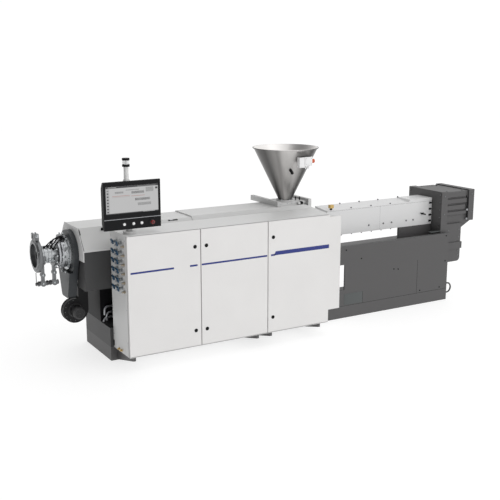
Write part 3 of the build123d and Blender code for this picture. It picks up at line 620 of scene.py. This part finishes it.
# The blower under the head is a sheet scroll with a finned motor. Fins run along the motor, a wire grille
# covers its fan, and small bolts go round the scroll's rim.

# The scroll's paint is nearly black: painted shade under the head, darker than the dark grey of the rest.
blower_paint_painted_shade = painted("blower_paint_painted_shade", "dark_paint", (0.016, 0.016, 0.017), 0.5, 900.0, 0.0001,
                       Specular_IOR_Level=0.3)
dress(blower_paint_painted_shade, "blower_volute")
# The blower motor gets the darker copy of the dark paint: painted shade.
dress(dark_paint_painted_shade, "blower_motor")

volute_front = spans("blower_volute")[0][1]
(motor_left, motor_front, motor_low), (motor_right, _, motor_high) = spans("blower_motor")
motor_x = (motor_left + motor_right) / 2
motor_z = (motor_low + motor_high) / 2
motor_radius = 60
fin = rounded((3, 78, 9), 1.2) + [0, 0, motor_radius + 1]
fins = np.stack([turned(fin, "y", angle) for angle in turns(28)])
# The motor's fins take the same painted shade.
surface("motor_fins", fins + [motor_x, motor_front + 88, motor_z], dark_paint_painted_shade, "root")
grille_rings = [spun([(0, r - 1.5), (-2, r), (0, r + 1.5), (2, r)], "y", 40) for r in (12, 22, 32, 42)]
surface("motor_grille", np.stack(grille_rings) + [motor_x, motor_front, motor_z], black_paint, "root",
        closed_u=True)
rim_turn = math.radians(100) + np.arange(9) * math.radians(28)
repeated("volute_bolts", hexagon(6, 5, "y", -1),
         round_places((motor_x, volute_front, motor_z), 112, rim_turn, "y"), dark_steel)
repeated("motor_flange_bolts", hexagon(6, 6, "y", -1),
         round_places((motor_x, volute_front - 10, motor_z), 69, turns(4, math.radians(45)), "y"), dark_steel)

# The valve bank on the cabinet's end: nickelled ball valves with blue levers in two columns, and brass hose
# nipples beside them, each screwed into the end sheet.

brass = machined("brass", "brass", (0.60, 0.42, 0.16), 0.30, (200.0, 60.0, 60.0))
dull_brass = machined("dull_brass", "brass", (0.46, 0.40, 0.31), 0.34, (200.0, 60.0, 60.0))
blue_plastic = painted("blue_plastic", "blue_plastic", (0.006, 0.050, 0.105), 0.25, 400.0, 0.00003)
dress(bright_steel, "valve_bodies")
dress(blue_plastic, "valve_handles")
dress(dull_brass, "hose_fittings")

lever_left = spans("valve_handles")[0][0]
(_, valve_low_y, valve_low_z), (_, valve_high_y, valve_high_z) = spans("valve_bodies")
valve_radius = 17
valve_rows = 6
valve_columns = (valve_high_y - valve_radius, valve_low_y + valve_radius)
valve_heights = straight(valve_high_z - valve_radius, valve_low_z + valve_radius, valve_rows)
valve_places = np.array([(0, y, z) for y in valve_columns for z in valve_heights])
lever_places = valve_places + [lever_left, 0, 0]
hub_profile = [(-1, 0), (-1, 15), (3, 20), (13, 20), (13, 0)]
sleeve_profile = [(-46, 0), (-46, 9), (-24, 9), (-24, 12), (-3, 12), (-3, 0)]
nipple_profile = [(0, 0), (0, 13), (-12, 13), (-12, 8), (-24, 8), (-24, 0)]
repeated("lever_hubs", spun(hub_profile, "x", 20), lever_places, blue_plastic)
repeated("lever_screws", stud(6, 3, "x", -1), lever_places, bright_steel)
repeated("hose_sleeves", spun(sleeve_profile, "x", 16), valve_places - [0, 44, 30], zinc)
white_plastic = painted("white_plastic", "white_plastic", (0.87, 0.87, 0.87), 0.30, 500.0, 0.00003)
repeated("valve_tags", rounded((3, 26, 13), 1.2), valve_places + [-1, -40, 24], white_plastic)
repeated("low_fittings", spun(nipple_profile, "x", 16), [(0, 270, 176), (0, 205, 178)], brass)

# The operator panel: a black coated housing with a glass-fronted screen, a steel line under it, three white
# push buttons in steel rings and a red emergency stop. The lamp on its pole has a clear lens.

red_plastic = painted("red_plastic", "red_plastic", (0.20, 0.018, 0.018), 0.3, 400.0, 0.00003)
dress(light_paint, "panel_foot", "beacon_pole")
coated = Finish("panel_paint", "black_paint", (0.008, 0.008, 0.009), 0.4, Specular_IOR_Level=0.12)
screen_low, screen_high = (np.array(end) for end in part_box("panel_screen"))
post_top = float(screen_low[2]) - 0.165
coated.set("Base Color", coated.mix(coated.z < post_top, (0.008, 0.008, 0.009), (0.60, 0.60, 0.60)))
coated.set("Roughness", coated.noise(6.0) * 0.1 + 0.35).bump(coated.noise(900.0), 0.00006)
dress(coated, "panel_housing")
dress(black_paint, "beacon_bands")
dress(white_plastic, "panel_buttons")
dress(red_plastic, "emergency_stop")

screen = Finish("screen_glass", "screen_glass", (0.01, 0.01, 0.011), 0.2, Emission_Strength=0.88)
across = (screen.x - screen_low[0]) / (screen_high[0] - screen_low[0])
upward = (screen.z - screen_low[2]) / (screen_high[2] - screen_low[2])


def patch(left, right, bottom, top):
    """1 inside a rectangle of the screen, given as shares of its width and height, and 0 outside."""
    return (across > left) * (across < right) * (upward > bottom) * (upward < top)


page = screen.mix(screen.noise(3.0), (0.50, 0.50, 0.50), (0.54, 0.54, 0.54))
blocks = (across * 46).fraction() > 0.45
lines = (upward * 40).fraction() > 0.5
icons = patch(0.018, 0.05, 0.06, 0.86) * ((upward * 9).fraction() > 0.55)
layers = (
    (patch(0, 1, 0.935, 1), (0.035, 0.035, 0.037)),
    (patch(0.04, 0.2, 0.955, 0.98), (0.35, 0.35, 0.35)),
    (patch(0.6, 0.95, 0.945, 0.975) * blocks, (0.25, 0.25, 0.25)),
    (patch(0, 0.066, 0, 0.935), (0.42, 0.42, 0.425)),
    (icons, (0.06, 0.06, 0.062)),
    (patch(0.17, 0.33, 0.74, 0.80) * lines, (0.12, 0.12, 0.12)),
    (patch(0.12, 0.45, 0.640, 0.655), (0.42, 0.20, 0.18)),
    (patch(0.12, 0.45, 0.60, 0.612), (0.40, 0.36, 0.35)),
    (patch(0.48, 0.73, 0.70, 0.79) * blocks, (0.05, 0.05, 0.05)),
    (patch(0.48, 0.74, 0.610, 0.625), (0.42, 0.22, 0.20)),
    (patch(0.55, 0.84, 0.44, 0.53) * blocks, (0.04, 0.04, 0.04)),
    (patch(0.60, 0.86, 0.26, 0.36) * lines, (0.14, 0.14, 0.14)),
    (patch(0.38, 0.64, 0.83, 0.86) * blocks, (0.16, 0.16, 0.16)),
    (patch(0.76, 0.91, 0.74, 0.91) * lines, (0.16, 0.16, 0.16)),
    (patch(0.945, 0.99, 0.82, 0.89), (0.04, 0.04, 0.04)),
    (patch(0, 1, 0, 0.03), (0.05, 0.05, 0.052)),
    (patch(0.70, 0.93, 0.006, 0.024), (0.45, 0.45, 0.45)),
)
for share, colour in layers:
    page = screen.mix(share, page, colour)
screen.set("Emission Color", page).set("Roughness", screen.noise(40.0) * 0.06 + 0.10)
dress(screen, "panel_screen")

(panel_left, panel_front, _), (panel_right, _, panel_top) = spans("panel_housing")
line_z = 1559
surface("panel_line", bar(panel_left + 1, panel_right - 1, panel_front - 1.2, panel_front + 1, line_z - 2,
                          line_z + 2), zinc, "operator_panel")
glass_edges = [bar(panel_left + 2, panel_right - 2, panel_front - 0.8, panel_front + 1, z, z + 1.5)
               for z in (line_z + 8, panel_top - 6)]
surface("panel_glass_edge", np.stack(glass_edges), rubber, "operator_panel")
(button_left, _, button_low), (button_right, _, button_high) = spans("panel_buttons")
button_z = (button_low + button_high) / 2
button_places = [(x, panel_front, button_z) for x in (button_left + 14, button_left + 110, button_right - 14)]
button_ring = spun([(0, 14), (-4, 14), (-5, 16), (-5, 19), (0, 21)], "y", 28)
repeated("button_rings", button_ring, button_places, rubber, "operator_panel", closed_u=True)
(stop_left, stop_front, _), (stop_right, _, _) = spans("emergency_stop")
stop_x = (stop_left + stop_right) / 2
stop_ring = spun([(0, 18), (-5, 18), (-6, 21), (-5, 25), (0, 26)], "y", 32)
stop_mark = spun([(0, 4), (-0.6, 5), (-0.6, 9), (0, 10)], "y", 24)
surface("stop_ring", stop_ring + [stop_x, panel_front, button_z], rubber, "operator_panel", closed_u=True)
surface("stop_mark", stop_mark + [stop_x, stop_front + 0.4, button_z], rubber, "operator_panel", closed_u=True)
lens = Finish("clear_plastic", "clear_plastic", (0.86, 0.87, 0.87), 0.12, Alpha=0.45)
lens.vary(lens.noise(30.0), 0.95, 1.0).set("Roughness", lens.noise(80.0) * 0.1 + 0.08)
dress(lens, "beacon_lens")
(lens_left, lens_near, lens_low), (lens_right, lens_far, lens_high) = spans("beacon_lens")
core_radius = 12
core_profile = [(lens_low, 0), (lens_low, core_radius), (lens_high, core_radius), (lens_high, 0)]
lens_middle = [(lens_left + lens_right) / 2, (lens_near + lens_far) / 2, 0]
surface("beacon_core", spun(core_profile, "z", 20) + lens_middle, white_plastic, "operator_panel")

# The hopper is rolled from brushed stainless sheet with a beaded rim, and stands on a painted slide. Its
# level sensor is a white box under a dark bracket, with an orange cap.

(hopper_left, hopper_near, throat_z), (hopper_right, hopper_far, rim_z) = spans("hopper_cone")
hopper_x = (hopper_left + hopper_right) / 2
hopper_y = (hopper_near + hopper_far) / 2
rim_radius = (hopper_right - hopper_left) / 2
bead_radius = 6
wall_radius = rim_radius - 2 * bead_radius
throat_radius = 72
growth = (wall_radius - throat_radius) / (rim_z - bead_radius - throat_z)
hopper_middle = corner + np.array([hopper_x, hopper_y, 0]) / 1000
stainless = Finish("stainless", "stainless", (0.36, 0.352, 0.345), 0.30, 1.0)
from_x = stainless.x - float(hopper_middle[0])
from_y = stainless.y - float(hopper_middle[1])
reach = (from_x * from_x + from_y * from_y).sum("SQRT")
heading = stainless.vector(from_x / reach, from_y / reach, stainless.z * 0.12)
brush = stainless.noise(70.0, 3.0, 0.65, heading)
cloud = stainless.noise(2.3, 2.0, 0.5, heading)
outer_wall = (stainless.z - throat_z / 1000) * growth + throat_radius / 1000
# The inside of the cone, which is painted lighter as painted light.
inside = reach < outer_wall - 0.0015


def painted_reflection_band(degrees, sharpness):
    """A painted reflection band: 1 at a bearing round the hopper and falling off to both sides, a power of
    half the cosine plus a half."""
    bearing = math.radians(degrees)
    cosine = (from_x * math.cos(bearing) + from_y * math.sin(bearing)) / reach
    return (cosine * 0.5 + 0.5).sum("POWER", sharpness)


# Painted reflections and shade: light and dark bands at bearings round the hopper, and a lighter inside of the
# cone where light falls in. The brushed streaks and the cloud are the steel's own tone.
tone = (brush * 0.16 + cloud * 0.13 + painted_reflection_band(-126, 14) * 0.8 - painted_reflection_band(-136, 420) * 0.2
        - painted_reflection_band(-168, 24) * 0.34 - painted_reflection_band(-60, 40) * 0.16 + inside).clipped()
stainless.vary(tone, 0.3, 2.4)
stainless.set("Roughness", (brush * 0.22 + 0.22).clipped()).bump(brush, 0.0001)
orange_plastic = painted("orange_plastic", "orange_plastic", (0.60, 0.10, 0.03), 0.32, 400.0, 0.00003)
dress(stainless, "hopper_cone")
dress(light_paint, "hopper_slide", "hopper_rails")
dress(white_plastic, "level_sensor")
dress(orange_plastic, "sensor_cap")

bead = [(rim_z - bead_radius * (1 - math.sin(a)), rim_radius - bead_radius * (1 - math.cos(a)))
        for a in turns(12)]
surface("hopper_bead", spun(bead, "z", 96) + [hopper_x, hopper_y, 0], stainless, "hopper", closed_u=True)


def on_cone(degrees, z, lift=0.0):
    """A place on the hopper's outside: its radius grows evenly from the throat to the rim."""
    radius = throat_radius + (z - throat_z) * growth + lift
    bearing = math.radians(degrees)
    return np.array([hopper_x + radius * math.cos(bearing), hopper_y + radius * math.sin(bearing), z])


seam_path = [on_cone(62, z, 0.5) for z in straight(throat_z + 14, rim_z - 12)]
sight_path = [on_cone(-111, 1842, 2), on_cone(-109, 1828, 3), on_cone(-105, 1804, 3), on_cone(-103, 1790, 2)]
surface("hopper_seam", tube(seam_path, 2.0), stainless, "hopper")
surface("hopper_sight", tube(sight_path, 17), black_paint, "hopper")

(sensor_left, sensor_near, sensor_low), (sensor_right, _, sensor_high) = spans("level_sensor")
surface("sensor_bracket", bar(sensor_left - 70, sensor_right - 20, sensor_near - 4, sensor_near + 6,
                              sensor_high + 1, sensor_high + 8), black_paint, "hopper")
surface("sensor_cover", rounded((70, 52, 118), 5.0) + [sensor_left - 36, sensor_near + 27, sensor_high - 60],
        white_plastic, "hopper")
surface("sensor_lid", rounded((84, 5, 78), 2.0)
        + [(sensor_left + sensor_right) / 2, sensor_near - 1, sensor_high - 50], white_plastic, "hopper")
lid_screws = [(x, sensor_near - 3, z) for x in (sensor_left + 16, sensor_right - 16)
              for z in (sensor_high - 18, sensor_high - 82)]
repeated("sensor_screws", stud(4, 3, "y", -1, 8), lid_screws, zinc, "hopper")
sensor_gland = [(0, 0), (0, 9), (-14, 9), (-16, 6), (-34, 6), (-34, 0)]
gland_places = [(x, sensor_near + 26, sensor_low + 34) for x in (sensor_left + 28, sensor_left + 66)]
repeated("sensor_glands", spun(sensor_gland, "z", 16), gland_places, white_plastic, "hopper")

(slide_left, knob_front, slide_low), (slide_right, _, _) = spans("hopper_slide")
slide_front = knob_front + 28
slide_z = (slide_low + throat_z) / 2
surface("slide_knob", stud(17, 34, "y", -1, 24) + [hopper_x + 118, slide_front, slide_z], black_paint,
        "hopper")
slide_screws = [(x, slide_front, slide_z + 4)
                for x in (hopper_x - 70, hopper_x - 8, hopper_x + 54, slide_left + 24)]
repeated("slide_screws", stud(6, 3, "y", -1, 12), slide_screws, zinc, "hopper")
repeated("throat_bolts", hexagon(7, 8, "z", 1),
         round_places((hopper_x, hopper_y, throat_z + 12), 94, turns(6, math.radians(30)), "z"), bright_steel,
         "hopper")
slide_pins = [(slide_right - 40, slide_front + 70, throat_z), (slide_right - 70, slide_front + 110, throat_z)]
repeated("slide_pin", stud(7, 38, "z", 1, 16), slide_pins, black_paint, "hopper")
(rail_left, rail_front, _), (rail_right, rail_back, rail_top) = spans("hopper_rails")
rail_screws = [(x, y, rail_top) for x in (rail_left + 21, rail_right - 21)
               for y in straight(rail_front + 60, rail_back - 60, 4)]
repeated("rail_screws", stud(6, 3, "z", 1), rail_screws, zinc)

# The shaft duct is a long white sheet box with bolts along its edges, pressed louvres and a black T-handle at
# the gear end, and a brass grease block at the feed end.

duct_paint = painted("duct_paint", "duct_paint", (0.73, 0.73, 0.732), 0.35, 700.0, 0.00008)
dress(duct_paint, "shaft_duct")
dress(brass, "lubricator")
dress(dark_paint, "gear_stand")

(duct_left, louvre_front, duct_bottom), (duct_right, duct_back, lid_top) = spans("shaft_duct")
duct_front = louvre_front + 14
duct_top = lid_top - 28
roof_rise = 20
edge_bolts = [(x, duct_front + 14, duct_top) for x in 3215 + 305 * np.arange(3)]
edge_bolts += [(x, duct_back - 10, duct_top + roof_rise - 1) for x in 3215 + 300 * np.arange(3)]
edge_bolts += [(4140, duct_back - 10, lid_top)]
under_bolts = [(x, duct_front + 12, duct_bottom) for x in 3075 + 153.5 * np.arange(6)]
front_bolts = [(x, duct_front, 1056) for x in (3483, 3712, 3843, 4081, 4197)]
repeated("duct_top_bolts", hexagon(10, 13, "z", 1), edge_bolts, dark_steel)
repeated("duct_under_bolts", stud(8, 12, "z", -1), under_bolts, dark_steel)
repeated("duct_front_bolts", stud(11, 8, "y", -1, 16), front_bolts, dark_steel)
duct_seam_x = 3655
surface("duct_seams", np.stack([
    bar(duct_left, duct_right, duct_front - 0.5, duct_front + 1, duct_top - 14, duct_top - 12.5),
    bar(duct_seam_x, duct_seam_x + 1, duct_front - 0.5, duct_front + 1, duct_bottom, duct_top - 14)]),
        rubber, "root")
louvre_depth = 14
louvre_long = 86
# Each louvre's opening is a flat black patch on the duct's face: painted shade for the dark inside of the
# opening.
louvre_shade_patch = turned(rounded((44, 3, 27), 1.4), "z", -math.atan2(louvre_depth, louvre_long))
louvre_heights = duct_top - 37 - 78 * np.arange(4)
repeated("louvre_mouths", louvre_shade_patch, [(duct_right - 32, louvre_front + 3.4, z) for z in louvre_heights],
         black_paint)
surface("duct_handle_plate", rounded((40, 5, 24), 2.0) + [4352, duct_front - 1, 1122], black_paint, "root")
grip_y = duct_front - 17
surface("duct_handle", np.concatenate([tube(straight((4306, grip_y, 1134), (4392, grip_y, 1108)), 7),
                                       tube(straight((4352, grip_y, 1120), (4352, duct_front, 1120)), 6)]),
        black_paint, "root")
(lube_left, lube_front, _), (lube_right, lube_back, _) = spans("lubricator")
surface("lubricator_foot", spun([(0, 0), (0, 15), (20, 15), (21, 12), (21, 0)], "z", 20)
        + [(lube_left + lube_right) / 2, (lube_front + lube_back) / 2, duct_top], black_paint, "root")

# The gear unit: a cast housing with machined ribs between two thick plates, and a lower case, all sprayed
# dark grey. Screws hold the plates, and oil pipes run in the gap behind the rear plate.

dress(dark_paint, "gear_plate_front", "gear_housing", "gear_plate_rear", "lower_gear_case")

(gear_left, gear_near, gear_low), (gear_right, gear_far, gear_top) = spans("gear_plate_front")
(housing_left, rib_near, _), (_, rib_far, housing_top) = spans("gear_housing")
rear_right = spans("gear_plate_rear")[1][0]
rear_left = rear_right - 91
case_front = spans("lower_gear_case")[0][1] + 14
plate_screws = [(gear_left, y, z) for y in (gear_near + 28, gear_far - 28)
                for z in straight(gear_low + 60, gear_top - 40, 5)]
edge_screws = [(x, gear_near, z) for x in ((gear_left + gear_right) / 2, (rear_left + rear_right) / 2)
               for z in (1120, gear_top - 60)]
top_screws = [(x, y, housing_top) for x in (housing_left + 40, rear_left - 60)
              for y in (rib_near + 70, rib_far - 70)]
repeated("gear_plate_screws", stud(11, 9, "x", -1), plate_screws, dark_steel)
repeated("gear_edge_screws", stud(10, 5, "y", -1), edge_screws, dark_steel)
repeated("gear_top_screws", hexagon(13, 10, "z", 1), top_screws, dark_steel)
oil_x = rear_left - 24
oil_y = rib_near - 2
oil_path = [(oil_x, oil_y, 1020), (oil_x, oil_y, 1150), (oil_x + 2, oil_y, 1290),
            (oil_x + 2, oil_y + 22, 1330)]
surface("oil_pipe", tube(oil_path, 7), black_paint, "root")
repeated("oil_pipe_nuts", spun([(-12, 0), (-12, 12), (12, 12), (12, 0)], "z", 6),
         [(oil_x, oil_y, z) for z in (1030, 1150)], zinc)
surface("gear_pad", rounded((160, 46, 12), 3.0) + [gear_left - 82, gear_near + 26, 905], plate_paint, "root")
repeated("case_screws", stud(9, 4, "y", -1),
         [(x, case_front, z) for x in (4640, 4820) for z in (560, 620, 800, 900)], dark_steel)
